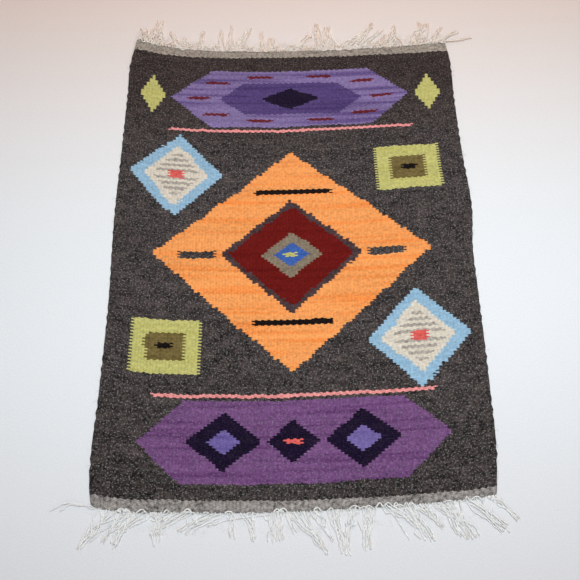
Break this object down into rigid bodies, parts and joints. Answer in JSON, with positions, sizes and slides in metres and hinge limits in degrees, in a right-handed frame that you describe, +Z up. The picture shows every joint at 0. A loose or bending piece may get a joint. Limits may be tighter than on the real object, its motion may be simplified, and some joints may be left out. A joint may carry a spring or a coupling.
{
  "type": "woven wool tapestry",
  "caption": "Flat-woven wool tapestry panel with bold geometric motifs on a charcoal ground, a light band at each end and a loose warp fringe, lying flat.",
  "frame": {"origin": "middle of the woven panel's flat underside, on the surface it lies on", "axes": "+Z up out of the cloth's face, +Y along the warps from the near end to the far end, +X along the wefts to the right"},
  "size_m": [0.6958, 1.0505, 0.0114],
  "materials": {
    "tapestry_wool": "matt weft-faced wool, heathered charcoal with dyed motifs",
    "warp_yarn": "matt undyed plied yarn"
  },
  "bodies": {
    "root": {"woven_panel": "tapestry_wool", "fringe_near": "warp_yarn", "fringe_far": "warp_yarn"}
  },
  "joints": []
}
